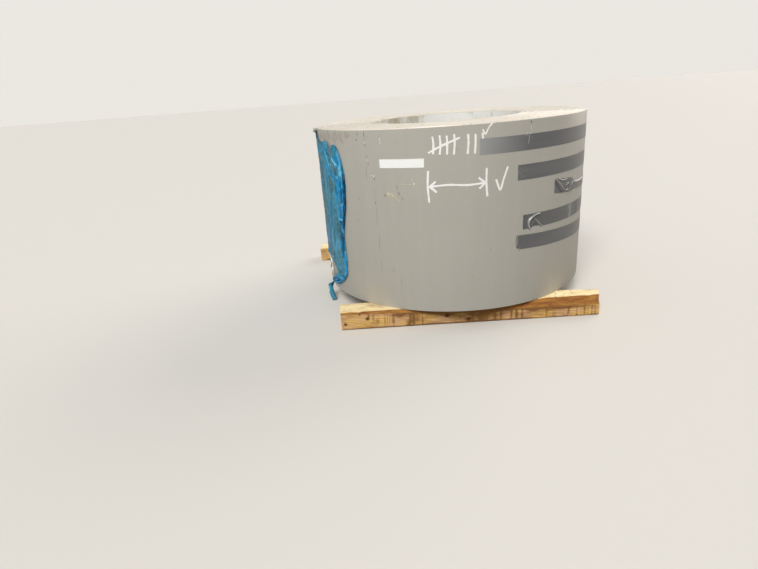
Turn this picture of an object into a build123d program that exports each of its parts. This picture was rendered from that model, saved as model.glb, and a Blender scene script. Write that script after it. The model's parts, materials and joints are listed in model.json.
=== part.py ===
from build123d import *
import math
import os

# A slit coil of painted steel strip, standing on its end on two timbers, with the tapes
# that hold its tail down, what is left of its wrapping film, and a paper label.
# Millimetres. +Z is up. Angles round the coil start at -Y, the side with the label, and
# grow towards +X. Everything is drawn about the coil's axis and then moved a little to the
# right, so that the origin is on the floor under the middle of the whole outline: the rear
# timber sticks out on the left.

os.makedirs("parts", exist_ok=True)

# The strip, and the coil that it is wound into
strip_width = 596.9
strip_gauge = 0.7
outer_radius = 504.0
bore_radius = 270.8
tail_angle = 97.0

# Laps that slid together while the coil was handled: how thick each group is, as its
# share of the winding from the bore outwards, and how far its edge stands above the
# lowest laps, at both ends alike because every lap is as wide as the strip
group_shares = (5, 3, 6, 2, 7, 4, 6, 3, 5, 7, 4)
group_slips = (0.0, 1.2, 0.5, 1.7, 0.9, 2.0, 0.6, 1.5, 2.2, 1.1, 0.0)

# The timbers: their sawn size, their turn in plan, how far their middles lie inside the
# coil's outer face, and how far they are shifted along themselves
timber_length = 904.0
timber_width = 88.9
timber_thickness = 63.5
timber_turn = 6.4
timber_edge_radius = 2.5
front_timber_inset = 86.0
rear_timber_inset = 104.0
front_timber_shift = 13.0
rear_timber_shift = -148.5

# How far each end of the front timber is sawn off square, in degrees
left_end_angle = 5.6
right_end_angle = 15.0

# Wane, the round of a slightly bowed log left along the front timber's upper front corner:
# the log's radius, how steep the wane's middle is, and how far its round passes inside the
# corner at the timber's left end, middle and right end
log_radius = 160.0
wane_slope = 40.0
wane_bites = (2.5, 12.0, 18.0)

# Wane on the upper back corner at its right end: how far it reaches in from that end, and
# its width and depth there
back_wane_length = 130.0
back_wane_width = 13.0
back_wane_depth = 6.0

# Tape, label and film all lie this far off the strip
skin_gap = 0.3

# Tapes over the tail, from the top one down: the angles where each starts and ends, how
# far below the coil's upper end its middle starts, and how far it falls on its way
tape_width = 47.0
tape_thickness = 0.3
tape_corner_radius = 3.0
tape_angles = ((11.0, 121.0), (25.1, 128.0), (42.7, 113.0), (27.7, 132.0), (25.5, 117.0))
tape_drops = (65.5, 154.5, 217.0, 314.0, 378.5)
tape_falls = (0.0, 4.0, 30.0, 12.0, 38.0)

# The label, with its middle below the coil's upper end
label_length = 148.7
label_height = 27.0
label_thickness = 0.3
label_angle = -16.6
label_drop = 102.5

# The film: its outline up its front edge and down its back edge, as angles and as shares
# of the coil's height, its thickness, and its thick rolled front edge
film_front_angles = (-54.0, -48.0, -46.9, -47.4, -43.8, -43.8, -47.7, -56.0)
film_front_shares = (0.05, 0.10, 0.21, 0.37, 0.60, 0.77, 0.91, 0.94)
film_back_angles = (-68.0, -76.0, -98.0, -114.0, -110.0, -103.0, -92.0, -80.0, -74.0, -67.0, -60.0)
film_back_shares = (0.945, 0.985, 0.975, 0.90, 0.55, 0.25, 0.02, 0.02, 0.25, 0.145, 0.05)
film_thickness = 1.0
hem_thickness = 5.0
hem_width = 16.0

# The film's torn strand, and how far it hangs below the coil and is backed by it
strand_angle = -64.0
strand_width = 20.0
strand_hang = 57.0
strand_overlap = 85.0

# How far past its outline a layer is drawn before it is cut to shape, and the log past
# the timber's ends
spare = 1.0
log_spare = 30.0

# How far right of the origin the coil's axis stands
axis_shift = 65.4

# Where things stand
coil_bottom = timber_thickness
coil_top = coil_bottom + strip_width
body_radius = outer_radius - 2 * strip_gauge
stand = Location((axis_shift, 0, 0))


def spoke(angle, radius):
    """The point at an angle round the coil and a radius from its axis."""
    turn = math.radians(angle)
    return Vector(radius * math.sin(turn), -radius * math.cos(turn), 0)


def facing(angle):
    """The upright plane through the axis that looks out of the coil at an angle."""
    return Plane(origin=(0, 0, 0), x_dir=spoke(angle + 90, 1), z_dir=spoke(angle, 1))


def wound_outline(lift):
    """The coil's outline from above, raised by lift: one lap of a spiral as two half
    turns, and the step at the tail, which lies later round the coil by as much as the
    outline is raised, so that a skin between two such outlines keeps its thickness."""
    angle = tail_angle + math.degrees(lift / outer_radius)
    tail = spoke(angle, outer_radius + lift)
    half = spoke(angle + 180, outer_radius + lift - strip_gauge / 2)
    start = spoke(angle, outer_radius + lift - strip_gauge)
    first_centre = (tail + half) * 0.5
    second_centre = (half + start) * 0.5
    quarter = spoke(angle - 90, 1)
    with BuildSketch() as outline:
        with BuildLine():
            ThreePointArc(tail, first_centre + quarter * (tail - first_centre).length, half)
            ThreePointArc(half, second_centre - quarter * (start - second_centre).length, start)
            Line(start, tail)
        make_face()
    return outline.sketch


def skin(corners, thickness, corner_radius=0):
    """A layer on the coil's outer face. Its corners are (angle, height) pairs."""
    angles = [angle for angle, height in corners]
    heights = [height for angle, height in corners]
    middle = (min(angles) + max(angles)) / 2
    reach = 2 * outer_radius
    flat = [(outer_radius * math.sin(math.radians(a - middle)), z) for a, z in corners]
    with BuildPart() as layer:
        with BuildSketch(Plane.XY.offset(min(heights) - spare)):
            add(wound_outline(skin_gap + thickness))
            add(wound_outline(skin_gap), mode=Mode.SUBTRACT)
            with BuildLine():
                Polyline(
                    (0, 0),
                    spoke(min(angles) - 1, reach),
                    spoke(middle, reach),
                    spoke(max(angles) + 1, reach),
                    close=True,
                )
            make_face(mode=Mode.INTERSECT)
        extrude(amount=max(heights) - min(heights) + 2 * spare)
        with BuildSketch(facing(middle)) as shape:
            with BuildLine():
                Polyline(*flat, close=True)
            make_face()
            if corner_radius:
                fillet(shape.vertices(), corner_radius)
        extrude(amount=reach, mode=Mode.INTERSECT)
    return layer.part


def patch(angle, width, middle, height, thickness):
    """A rectangular layer, centred at an angle and a height."""
    half_turn = math.degrees(width / outer_radius) / 2
    left, right = angle - half_turn, angle + half_turn
    lower, upper = middle - height / 2, middle + height / 2
    return skin([(left, lower), (right, lower), (right, upper), (left, upper)], thickness)


def turned_profile():
    """Half the section of the wound strip: its groups of laps, up one end and down the
    other."""
    build_up = body_radius - bore_radius
    edges = [bore_radius]
    for share in group_shares:
        edges.append(edges[-1] + build_up * share / sum(group_shares))
    upper = []
    lower = []
    for inner, outer, slip in zip(edges[:-1], edges[1:], group_slips):
        for radius in (inner, outer):
            upper.append((radius, coil_top + slip))
            lower.append((radius, coil_bottom + slip))
    return upper + lower[::-1]


def timber_plane(reach, shift):
    """Where a timber lies: turned in plan, reach from the axis and shifted along itself."""
    along = Vector(1, 0, 0).rotate(Axis.Z, timber_turn)
    across = Vector(0, 1, 0).rotate(Axis.Z, timber_turn)
    return Plane(origin=across * reach + along * shift, x_dir=along, z_dir=(0, 0, 1))


def timber(reach, shift, left_angle, right_angle):
    """A sawn timber on the floor, with its long edges worn round."""
    place = timber_plane(reach, shift)
    side = timber_width / 2
    left = side * math.tan(math.radians(left_angle))
    right = side * math.tan(math.radians(right_angle))
    end = timber_length / 2
    with BuildPart() as baulk:
        with BuildSketch(place):
            with BuildLine():
                Polyline(
                    (-end + left, -side),
                    (end - right, -side),
                    (end + right, side),
                    (-end - left, side),
                    close=True,
                )
            make_face()
        extrude(amount=timber_thickness)
        long_edges = baulk.edges().filter_by(Axis((0, 0, 0), place.x_dir))
        fillet(long_edges, timber_edge_radius)
    return baulk.part


# The coil. Its laps are turned about the axis, and the outermost two are the spiral,
# which ends in the step of the tail
with BuildPart() as coil:
    with BuildSketch(Plane.XZ):
        with BuildLine():
            Polyline(*turned_profile(), close=True)
        make_face()
    revolve(axis=Axis.Z)
    with BuildSketch(Plane.XY.offset(coil_bottom)):
        add(wound_outline(0))
        Circle(body_radius - strip_gauge, mode=Mode.SUBTRACT)
    extrude(amount=strip_width)
coil.part.label = "coil"
export_step(coil.part.moved(stand), "parts/coil.step")

# The front timber, with its ends sawn off square by different angles. It is what the saw
# left of a bowed log, whose round shows along its upper front corner, and it tapers off
# at its upper back corner
front_reach = front_timber_inset - outer_radius
front_place = timber_plane(front_reach, front_timber_shift)
half_length = timber_length / 2
half_width = timber_width / 2
front_corner = Vector(0, -half_width, timber_thickness)
wane_turn = math.radians(wane_slope)
outwards = Vector(0, -math.sin(wane_turn), math.cos(wane_turn))
heart = []
for share, bite in zip((-1, 0, 1), wane_bites):
    along = Vector(share * (half_length + log_spare), 0, 0)
    heart.append(front_corner + along - outwards * (log_radius + bite))
back_start = Vector(half_length - back_wane_length, half_width, timber_thickness)
back_low = Vector(half_length, half_width, timber_thickness - back_wane_depth)
back_high = Vector(half_length, half_width - back_wane_width, timber_thickness)
back_slope = (back_high - back_start).cross(back_low - back_start)
with BuildPart() as front_timber:
    add(timber(front_reach, front_timber_shift, left_end_angle, right_end_angle))
    with BuildLine():
        log_axis = ThreePointArc(*[front_place.from_local_coords(p) for p in heart])
    with BuildSketch(Plane(origin=log_axis @ 0, z_dir=log_axis % 0)):
        Circle(log_radius)
    sweep(path=log_axis, mode=Mode.INTERSECT)
    back_cut = Plane(origin=back_start, z_dir=back_slope)
    split(bisect_by=front_place.moved(back_cut), keep=Keep.BOTTOM)
front_timber.part.label = "timber_front"
export_step(front_timber.part.moved(stand), "parts/timber_front.step")

# The rear timber is parallel to it, with square ends, and sticks out on the left
with BuildPart() as rear_timber:
    add(timber(outer_radius - rear_timber_inset, rear_timber_shift, 0, 0))
rear_timber.part.label = "timber_rear"
export_step(rear_timber.part.moved(stand), "parts/timber_rear.step")

# The tapes run across the tail's step and follow it down
for number, (angles, drop, fall) in enumerate(zip(tape_angles, tape_drops, tape_falls), 1):
    start, end = angles
    upper = coil_top - drop + tape_width / 2
    lower = upper - tape_width
    corners = [(start, lower), (end, lower - fall), (end, upper - fall), (start, upper)]
    with BuildPart() as tape:
        add(skin(corners, tape_thickness, tape_corner_radius))
    tape.part.label = f"tape_{number}"
    export_step(tape.part.moved(stand), f"parts/tape_{number}.step")

# The label
label_middle = coil_top - label_drop
with BuildPart() as label:
    add(patch(label_angle, label_length, label_middle, label_height, label_thickness))
label.part.label = "label"
export_step(label.part.moved(stand), "parts/label.step")

# The film: a thin layer with a ragged outline, a thick roll along its front edge, and a
# torn strand that hangs below the coil
front_edge = [
    (angle, coil_bottom + share * strip_width)
    for angle, share in zip(film_front_angles, film_front_shares)
]
back_edge = [
    (angle, coil_bottom + share * strip_width)
    for angle, share in zip(film_back_angles, film_back_shares)
]
hem_turn = math.degrees(hem_width / outer_radius)
inner_edge = [(angle - hem_turn, height) for angle, height in reversed(front_edge)]
strand_middle = coil_bottom + (strand_overlap - strand_hang) / 2
strand_length = strand_overlap + strand_hang
with BuildPart() as film:
    add(skin(front_edge + back_edge, film_thickness))
    add(skin(front_edge + inner_edge, hem_thickness))
    add(patch(strand_angle, strand_width, strand_middle, strand_length, film_thickness))
film.part.label = "film"
export_step(film.part.moved(stand), "parts/film.step")
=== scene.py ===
import json
from functools import partial
from math import copysign, cos, exp, hypot, pi, radians, sin, tan

import bpy
import numpy as np
from mathutils import Matrix, Vector
from mathutils.noise import noise


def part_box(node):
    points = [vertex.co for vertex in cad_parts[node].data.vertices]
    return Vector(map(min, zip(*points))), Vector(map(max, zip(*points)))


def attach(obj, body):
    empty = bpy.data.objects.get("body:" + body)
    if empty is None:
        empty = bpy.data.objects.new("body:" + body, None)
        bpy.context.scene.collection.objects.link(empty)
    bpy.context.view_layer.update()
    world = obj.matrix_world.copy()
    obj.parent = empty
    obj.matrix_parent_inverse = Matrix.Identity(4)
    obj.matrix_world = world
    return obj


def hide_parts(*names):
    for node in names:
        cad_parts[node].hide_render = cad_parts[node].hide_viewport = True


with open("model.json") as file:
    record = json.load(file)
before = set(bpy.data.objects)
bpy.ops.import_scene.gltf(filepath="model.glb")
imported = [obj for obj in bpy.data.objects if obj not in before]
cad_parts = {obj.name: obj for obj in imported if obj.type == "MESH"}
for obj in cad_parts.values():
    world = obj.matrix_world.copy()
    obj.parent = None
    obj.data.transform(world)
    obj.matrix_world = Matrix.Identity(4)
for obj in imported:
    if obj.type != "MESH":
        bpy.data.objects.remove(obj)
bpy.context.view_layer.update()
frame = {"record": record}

# A slit coil of painted steel strip, standing on its end on two rough timbers.
# Metres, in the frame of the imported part. Angles round the coil are in degrees from -Y,
# the side that faces the camera, and grow towards +X.
MM = 0.001

scene = bpy.context.scene
scene.view_settings.view_transform = "Standard"

# ---------------------------------------------------------------- sizes
bore = next(m for m in frame["record"]["mounts"] if m["name"] == "bore")
axis = Vector(bore["pos_m"])
bore_radius = bore["dims"]["r_mm"] * MM
strip_width = bore["dims"]["length_mm"] * MM
outer_radius = 504.0 * MM
strip_gauge = 0.7 * MM
tail_angle = radians(97.0)
coil_bottom = axis.z - strip_width / 2
highest_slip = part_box("coil")[1].z - (axis.z + strip_width / 2)


# ---------------------------------------------------------------- small tools
def colour(text):
    """An sRGB hex colour as linear RGBA."""
    parts = [int(text[i : i + 2], 16) / 255 for i in (1, 3, 5)]
    return [c / 12.92 if c <= 0.04045 else ((c + 0.055) / 1.055) ** 2.4 for c in parts] + [1.0]


def node(tree, kind, inputs=None, operation=None, **settings):
    """Adds a node, of the shader kinds unless its name says another. An input that is given
    a socket or a node is linked to it, a node by its first output in use. A hex colour is
    turned to linear, and any other value is set as it is."""
    other_kind = kind.startswith(("Geometry", "Function", "NodeGroup"))
    made = tree.nodes.new(kind if other_kind else "ShaderNode" + kind)
    if operation:
        made.operation = operation
    for name, value in settings.items():
        setattr(made, name, value)
    for key, value in (inputs or {}).items():
        if isinstance(value, bpy.types.Node):
            value = next(output for output in value.outputs if output.enabled)
        if isinstance(value, bpy.types.NodeSocket):
            tree.links.new(value, made.inputs[key])
        else:
            is_colour = isinstance(value, str) and value.startswith("#")
            made.inputs[key].default_value = colour(value) if is_colour else value
    return made


def new_material(name, owner=None):
    """An empty material, or another owner of a node tree, and what adds nodes to it."""
    made = owner or bpy.data.materials.new(name)
    made.use_nodes = True
    made.node_tree.nodes.clear()
    return made, partial(node, made.node_tree)


def shaded(add, base, layers, inputs, relief=None):
    """Ends a material: its base colour under layers, each of which is its share and its
    colour, its shader's inputs, and its relief as a height, a strength and a distance."""
    for share, over in layers:
        base = add("Mix", {0: share, 6: base, 7: over}, data_type="RGBA")
    if relief:
        inputs["Normal"] = add("Bump", dict(zip(("Height", "Strength", "Distance"), relief)))
    add("OutputMaterial", {0: add("BsdfPrincipled", {"Base Color": base, **inputs})})


def new_geometry_tree(name, sockets):
    """A geometry node tree, what adds nodes to it, and its inputs, named by their kind."""
    tree = bpy.data.node_groups.new(name, "GeometryNodeTree")
    tree.interface.new_socket("Geometry", in_out="INPUT", socket_type="NodeSocketGeometry")
    for kind, labels in sockets.items():
        for label in labels:
            tree.interface.new_socket(label, in_out="INPUT", socket_type="NodeSocket" + kind)
    tree.interface.new_socket("Geometry", in_out="OUTPUT", socket_type="NodeSocketGeometry")
    return tree, partial(node, tree), node(tree, "NodeGroupInput").outputs


def new_mesh(name, points, faces, edges=(), **looks):
    """A mesh, with the values that its points carry under their names."""
    mesh = bpy.data.meshes.new(name)
    mesh.from_pydata(np.array(points).tolist(), edges, faces)
    for look, values in looks.items():
        mesh.attributes.new(look, "FLOAT", "POINT").data.foreach_set("value", np.ravel(values))
    return mesh


def grid_mesh(name, points, **looks):
    """Quads between points, given as rows by columns by 3. They face the side from which
    the rows run up and the columns run to the right."""
    rows, columns = points.shape[:2]
    index = np.arange(rows * columns).reshape(rows, columns)
    return new_mesh(name, points.reshape(-1, 3), quads(index).reshape(-1, 4).tolist(), **looks)


def quads(index):
    """The corners of each cell of a grid of numbered points."""
    return np.stack((index[:-1, :-1], index[:-1, 1:], index[1:, 1:], index[1:, :-1]), -1)


def tube_faces(rings, around, first=0):
    """Quads from ring to ring of a tube whose points are numbered from the first."""
    return [
        (start + j, start + (j + 1) % around, start + around + (j + 1) % around,
         start + around + j)
        for start in range(first, first + (rings - 1) * around, around)
        for j in range(around)
    ]


def new_piece(name, mesh, steps, slot, *nodes, sharp=40):
    """A piece that steps make of a mesh. A step is a modifier's kind with its settings, or
    a node tree with the values of its inputs. The piece is shaded smooth except at edges
    sharper than an angle in degrees, rides on the coil's one body, and stands for its solids.
    The slot is not used."""
    rough = bpy.data.objects.new(name + "_rough", mesh)
    scene.collection.objects.link(rough)
    for kind, settings in steps:
        if isinstance(kind, str):
            modifier = rough.modifiers.new(kind, kind)
            for key, value in settings.items():
                setattr(modifier, key, value)
        else:
            modifier = rough.modifiers.new(kind.name, "NODES")
            modifier.node_group = kind
            for item in kind.interface.items_tree:
                if item.in_out == "INPUT" and item.name in settings:
                    modifier[item.identifier] = settings[item.name]
    graph = bpy.context.evaluated_depsgraph_get()
    made = bpy.data.meshes.new_from_object(rough.evaluated_get(graph))
    bpy.data.objects.remove(rough)
    made.name = name
    if sharp:
        made.shade_smooth()
        made.set_sharp_from_angle(angle=radians(sharp))
    piece = bpy.data.objects.new(name, made)
    scene.collection.objects.link(piece)
    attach(piece, "root")
    if nodes:
        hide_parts(*nodes)
    return piece


def arc(angle):
    """How far along the wall an angle round the coil lies, in metres."""
    return radians(angle) * outer_radius


def height(above):
    """A height in the frame, from one in millimetres above the coil's lower end."""
    return coil_bottom + above * MM


# ---------------------------------------------------------------- materials
# Coil-coated polyester paint, rolled on flat strip before it was wound: an even satin grey
# with faint upright streaks and slow waves where the laps beneath it aren't quite round
coil_paint, add = new_material("coil_coated_polyester")
wall = add("Attribute", attribute_name="wall").outputs["Vector"]
streak_place = add("Mapping", {0: wall, 3: (26, 1, 1.3)})
streaks = add("TexNoise", {0: streak_place, 2: 1.0, 3: 4.0, 4: 0.6})
clouds = add("TexNoise", {0: wall, 2: 5.0, 3: 3.0})
grime = add("TexNoise", {0: wall, 2: 55.0, 3: 6.0, 4: 0.7})
gloss = add("MapRange", {0: clouds, 3: 0.34, 4: 0.46})
waves = add("TexNoise", {0: add("Mapping", {0: wall, 3: (7, 1, 1.1)}), 2: 1.0, 3: 2.0})
shaded(add, "#aaa8a0", (
    (add("Mix", {0: 0.45, 2: streaks, 3: clouds}), "#b8b6ae"),
    (add("MapRange", {0: grime, 1: 0.62, 2: 0.78}), "#98948a"),
), {"Roughness": gloss}, (waves, 0.5, 0.004))

# Slit edges of zinc-coated strip: bright sheared steel between two lines of zinc and paint,
# seen as a pale ring of fine turns, with specks of dirt beside the bore. The real turns are
# 0.7 mm apart and are drawn at 1.4
slit_edge, add = new_material("sheared_zinc_coated_steel")
place = add("TexCoord").outputs["Object"]
from_axis = add("VectorMath", {0: place, 1: axis}, "SUBTRACT")
flat_place = add("VectorMath", {0: from_axis, 1: (1, 1, 0)}, "MULTIPLY")
radius = add("VectorMath", {0: flat_place}, "LENGTH")
turn_lines = add("TexNoise", {1: radius, 2: 700.0, 3: 2.0}, noise_dimensions="1D")
turn_bands = add("TexNoise", {1: radius, 2: 90.0, 3: 3.0}, noise_dimensions="1D")
edge_mix = add("Mix", {0: 0.5, 2: turn_lines, 3: turn_bands})
patches = add("TexNoise", {0: place, 2: 9.0, 3: 5.0, 4: 0.6})
beside_bore = add("MapRange", {0: radius, 1: bore_radius, 2: bore_radius + 0.07, 3: 1.0, 4: 0.0})
across = add("SeparateXYZ", {0: from_axis})
to_left = add("MapRange", {0: across, 1: -0.16, 2: 0.06, 3: 1.0, 4: 0.25})
dirty_place = add("Math", {0: beside_bore, 1: to_left}, "MULTIPLY")
specks = add("TexNoise", {0: place, 2: 48.0, 3: 3.0, 4: 0.6})
speck_level = add("Math", {0: dirty_place, 1: 0.14, 2: specks}, "MULTIPLY_ADD")
shaded(add, "#d7cfc2", (
    (add("MapRange", {0: edge_mix, 1: 0.3, 2: 0.7}), "#f6f0e6"),
    (add("MapRange", {0: patches, 1: 0.52, 2: 0.75, 4: 0.5}), "#d8c9a5"),
    (add("MapRange", {0: speck_level, 1: 0.62, 2: 0.7, 4: 0.75}), "#a3997c"),
), {"Metallic": 0.15, "Roughness": 0.42}, (turn_lines, 0.35, 0.0005))

# Backer coat, the thin wash of paint on the strip's other side: a pale matt grey, blotched
# where oil and dust have settled in the bore, mostly at its left
backer_coat, add = new_material("backer_wash_coat")
wall = add("Attribute", attribute_name="wall").outputs["Vector"]
blotches = add("TexNoise", {0: wall, 2: 9.0, 3: 7.0, 4: 0.7})
across = add("SeparateXYZ", {0: add("TexCoord").outputs["Object"]})
oily = add("MapRange", {0: across, 1: axis.x - 0.2, 2: axis.x - 0.02, 3: 0.2, 4: 0.0})
blotch_level = add("Math", {0: blotches, 1: oily})
blotch = add("MapRange", {0: blotch_level, 1: 0.55, 2: 0.72, 4: 0.9})
shaded(add, "#ebecea", ((blotch, "#b4ad92"),), {"Roughness": 0.5})


def flat_stock(name, dark, light, roughness, grain, depth):
    """A thin stock whose tone wanders between two colours, with a fine grain."""
    made, add = new_material(name)
    wall = add("Attribute", attribute_name="wall").outputs["Vector"]
    wander = add("TexNoise", {0: wall, 2: 30.0, 3: 5.0, 4: 0.6})
    fine = add("TexNoise", {0: wall, 2: grain, 3: 3.0})
    shaded(add, dark, ((wander, light),), {"Roughness": roughness}, (fine, 0.4, depth))
    return made


# Sticker paper: matt, white, faintly mottled
paper = flat_stock("coated_sticker_paper", "#f8faf9", "#ffffff", 0.6, 900.0, 0.0002)
# Paint from a marker: thick opaque white that dries nearly matt
marker_paint = flat_stock("marker_paint", "#f6f6f4", "#ffffff", 0.5, 400.0, 0.0004)
# Dust that a glove has smeared, barely darker and redder than the paint
smeared_dust = flat_stock("smeared_dust", "#ada69c", "#b4ada3", 0.5, 500.0, 0.0002)
# Scuffs: paint rubbed thin over its yellowish primer, chips that show its pale layers, dirt
# pressed into the paint, and hair lines scratched in it
primer_scuff = flat_stock("rubbed_primer", "#bdb99f", "#d2ceb4", 0.6, 500.0, 0.0003)
chipped_paint = flat_stock("chipped_paint", "#cfccbf", "#e8e5da", 0.55, 500.0, 0.0003)
dirt_scuff = flat_stock("pressed_in_dirt", "#7b786e", "#918d80", 0.6, 500.0, 0.0003)
fine_scratch = flat_stock("fine_scratch", "#95928a", "#a19e94", 0.5, 500.0, 0.0002)
# Grease and dust that stick to loose glue, nearly black
gathered_grease = flat_stock("gathered_grease", "#3c3a38", "#57534e", 0.6, 500.0, 0.0003)

# Duct tape: polyethylene over cotton scrim, a dark grey with a soft shine, the scrim's
# threads just showing. It is painted paler on its creases, partly its whitening and partly a
# painted highlight, and darker in its folds and soiled places, partly dirt and glue residue and
# partly a painted shade; a painted reflection changes the tone of their left ends and of whole
# tapes. The threads are 1.4 mm apart and are drawn at 2.2
duct_tape, add = new_material("polyethylene_duct_tape")
wall = add("Attribute", attribute_name="wall").outputs["Vector"]
worn = add("Attribute", attribute_name="worn").outputs["Fac"]
streak_place = add("Mapping", {0: wall, 3: (5, 1, 60)})
threads = add("Math", {
    place: add("TexWave", {0: wall, 1: 140.0, 2: 0.3}, bands_direction=way).outputs["Fac"]
    for place, way in enumerate("XZ")
}, "MAXIMUM")
shaded(add, "#565759", (
    (add("TexNoise", {0: streak_place, 2: 1.0, 3: 4.0, 4: 0.6}), "#6d6f72"),
    (worn, "#dcdddd"),
    (add("Math", {0: worn, 1: -1.0}, "MULTIPLY", use_clamp=True), "#1f1f1f"),
), {"Roughness": 0.3, "IOR": 1.62, "Specular IOR Level": 0.8}, (threads, 0.25, 0.0003))

# Polyethylene wrapping film: strong blue where it is gathered in many layers, greenish and
# half clear where one layer lies on the grey wall, painted paler on its crests, partly its
# whitening and partly a painted highlight, and painted dark in its folds and at its shaded
# edge, a painted shade
film_plastic, add = new_material("blue_polyethylene_film")
wall = add("Attribute", attribute_name="wall").outputs["Vector"]
layers = add("Attribute", attribute_name="layers").outputs["Fac"]
crest = add("Attribute", attribute_name="crest").outputs["Fac"]
cloud_place = add("Mapping", {0: wall, 3: (70, 1, 9)})
cloud = add("TexNoise", {0: cloud_place, 2: 1.0, 3: 6.0, 4: 0.65})
cloud_share = add("MapRange", {0: cloud, 1: 0.34, 2: 0.66})
thin, thick, bunched = (
    add("Mix", {0: cloud_share, 6: deep, 7: light}, data_type="RGBA")
    for deep, light in (("#2f6f7c", "#568d93"), ("#0074a6", "#14a4dc"), ("#006eb0", "#0494e4"))
)
cover_spread = add("Math", {0: cloud_share, 1: 0.12, 2: layers}, "MULTIPLY_ADD")
cover = add("MapRange", {0: cover_spread, 1: 0.0, 2: 0.45, 3: 0.28, 4: 0.97})
ripple_place = add("Mapping", {0: wall, 2: (0, 0.4, 0), 3: (75, 1, 26)})
ripples = add("TexNoise", {0: ripple_place, 2: 1.6, 3: 4.0, 4: 0.55, 8: 1.2})
shaded(add, "#86acc2", (
    (add("MapRange", {0: layers, 2: 0.25}), thin),
    (add("MapRange", {0: layers, 1: 0.25, 2: 0.85}), thick),
    (add("MapRange", {0: layers, 1: 0.82, 2: 1.0, 4: 0.8}), bunched),
    (crest, "#84dcf8"),
    (add("Math", {0: crest, 1: -1.0}, "MULTIPLY", use_clamp=True), "#032f40"),
), {"Roughness": 0.2, "IOR": 1.51, "Specular IOR Level": 0.3, "Alpha": cover},
    (ripples, 0.8, 0.006))

# Clear wrapping film, crumpled: whitish on its folds and edges, partly its whitening and
# partly a painted glint, else almost see-through
clear_film, add = new_material("clear_polyethylene_film")
wall = add("Attribute", attribute_name="wall").outputs["Vector"]
crest = add("Attribute", attribute_name="crest").outputs["Fac"]
haze = add("TexNoise", {0: wall, 2: 120.0, 3: 4.0, 4: 0.6})
haze_share = add("MapRange", {0: haze, 1: 0.4, 2: 0.66, 3: 0.08, 4: 0.42})
cover = add("Math", {0: crest, 1: 1.6, 2: haze_share}, "MULTIPLY_ADD", use_clamp=True)
shaded(add, "#efefeb", (), {
    "Roughness": 0.15, "IOR": 1.51, "Specular IOR Level": 0.6, "Alpha": cover,
}, (haze, 0.8, 0.004))


def sawn_softwood(name, along_turn, centre, pith, seed):
    """Rough-sawn softwood: growth rings about a pith that runs beside the timber, so that
    its sides show long grain and its ends arcs. Its top is bleached and painted lighter, a
    painted light from above, its sides are brown with dirt, and with a painted shadow where the
    coil overhangs them, and bark along the grain, and saw marks cross them in places. Rings are
    5 mm apart, and the fibres, really under 1 mm wide, are drawn at about 5 so that they show."""
    made, add = new_material(name)
    knot, bark, bleached_and_lit, dirt_and_painted_shadow = (
        add("Attribute", attribute_name=look).outputs["Fac"]
        for look in ("knot", "bark", "bleached_and_lit", "dirt_and_painted_shadow")
    )
    moved = add("VectorMath", {0: add("TexCoord").outputs["Object"], 1: centre}, "SUBTRACT")
    turned = add("VectorRotate", {"Vector": moved, "Axis": (0, 0, 1), "Angle": -along_turn})
    bend, fibres, hue, stain, saw, bark_streaks = (
        add("TexNoise", {
            0: add("Mapping", {0: turned, 1: move, 3: scale}), 2: 1.0, 3: detail, 4: rough,
            8: swirl,
        })
        for move, scale, detail, rough, swirl in (
            ((seed, 0, 0), (2.2, 9, 9), 2.0, 0.5, 0.0),
            ((0, 0, 0), (9, 170, 170), 4.0, 0.7, 0.0),
            ((0, seed, 4), (14, 26, 26), 3.0, 0.5, 0.0),
            ((seed, 3, 0), (9, 20, 42), 6.0, 0.65, 0.0),
            ((0, 0, 0), (130, 32.5, 32.5), 3.0, 0.6, 0.0),
            ((seed, 0, 5), (16, 60, 90), 5.0, 0.65, 0.8),
        )
    )
    bent = add(
        "VectorMath", {0: bend.outputs["Color"], 1: (0, 0.05, 0.05), 2: turned}, "MULTIPLY_ADD"
    )
    knot_push = add("VectorMath", {0: (0, 0, 0.03), "Scale": knot}, "SCALE")
    bent_more = add("VectorMath", {0: bent, 1: knot_push})
    rings = add(
        "TexWave",
        {0: add("VectorMath", {0: bent_more, 1: pith}), 1: 63.0, 2: 1.2, 3: 3.0, 4: 1.5},
        wave_type="RINGS", rings_direction="X", wave_profile="SAW",
    )
    lines = add("Mix", {0: 0.5, 2: rings.outputs["Fac"], 3: fibres})
    grain = add("MapRange", {0: lines, 1: 0.26, 2: 0.72})
    hue_share = add("MapRange", {0: hue, 1: 0.42, 2: 0.58})
    dark_ring, pale_ring, bleached_lit_top_wood = (
        add("Mix", {0: share, 6: deep, 7: light}, data_type="RGBA")
        for share, deep, light in (
            (hue_share, "#ae7c50", "#b37a30"), (hue_share, "#efc897", "#fad68a"),
            (grain, "#f0d294", "#fff1ca"),
        )
    )
    # Dirt, and painted shadow where the coil overhangs the timber, darken it
    stain_and_shadow_level = add("Math", {0: dirt_and_painted_shadow, 1: 0.3, 2: stain}, "MULTIPLY_ADD")
    saw_where = add("TexNoise", {0: turned, 2: 5.0, 3: 2.0})
    saw_dark = add("Math", {
        0: add("MapRange", {0: saw, 1: 0.52, 2: 0.66}),
        1: add("MapRange", {0: saw_where, 1: 0.5, 2: 0.62, 4: 0.5}),
    }, "MULTIPLY")
    bark_share = add("MapRange", {0: bark_streaks, 1: 0.38, 2: 0.62, 4: 0.95})
    shaded(add, dark_ring, (
        (grain, pale_ring), (bleached_and_lit, bleached_lit_top_wood),
        (add("MapRange", {0: stain_and_shadow_level, 1: 0.5, 2: 0.8, 4: 0.85}), "#6d421c"),
        (saw_dark, "#7d5020"), (bark, "#a97839"),
        (add("Math", {0: bark, 1: bark_share}, "MULTIPLY"), "#7a4620"),
        (knot, "#4a260f"),
    ), {"Roughness": 0.75, "Specular IOR Level": 0.25},
        (add("Math", {0: fibres, 1: saw_dark}), 0.6, 0.001))
    return made


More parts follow.
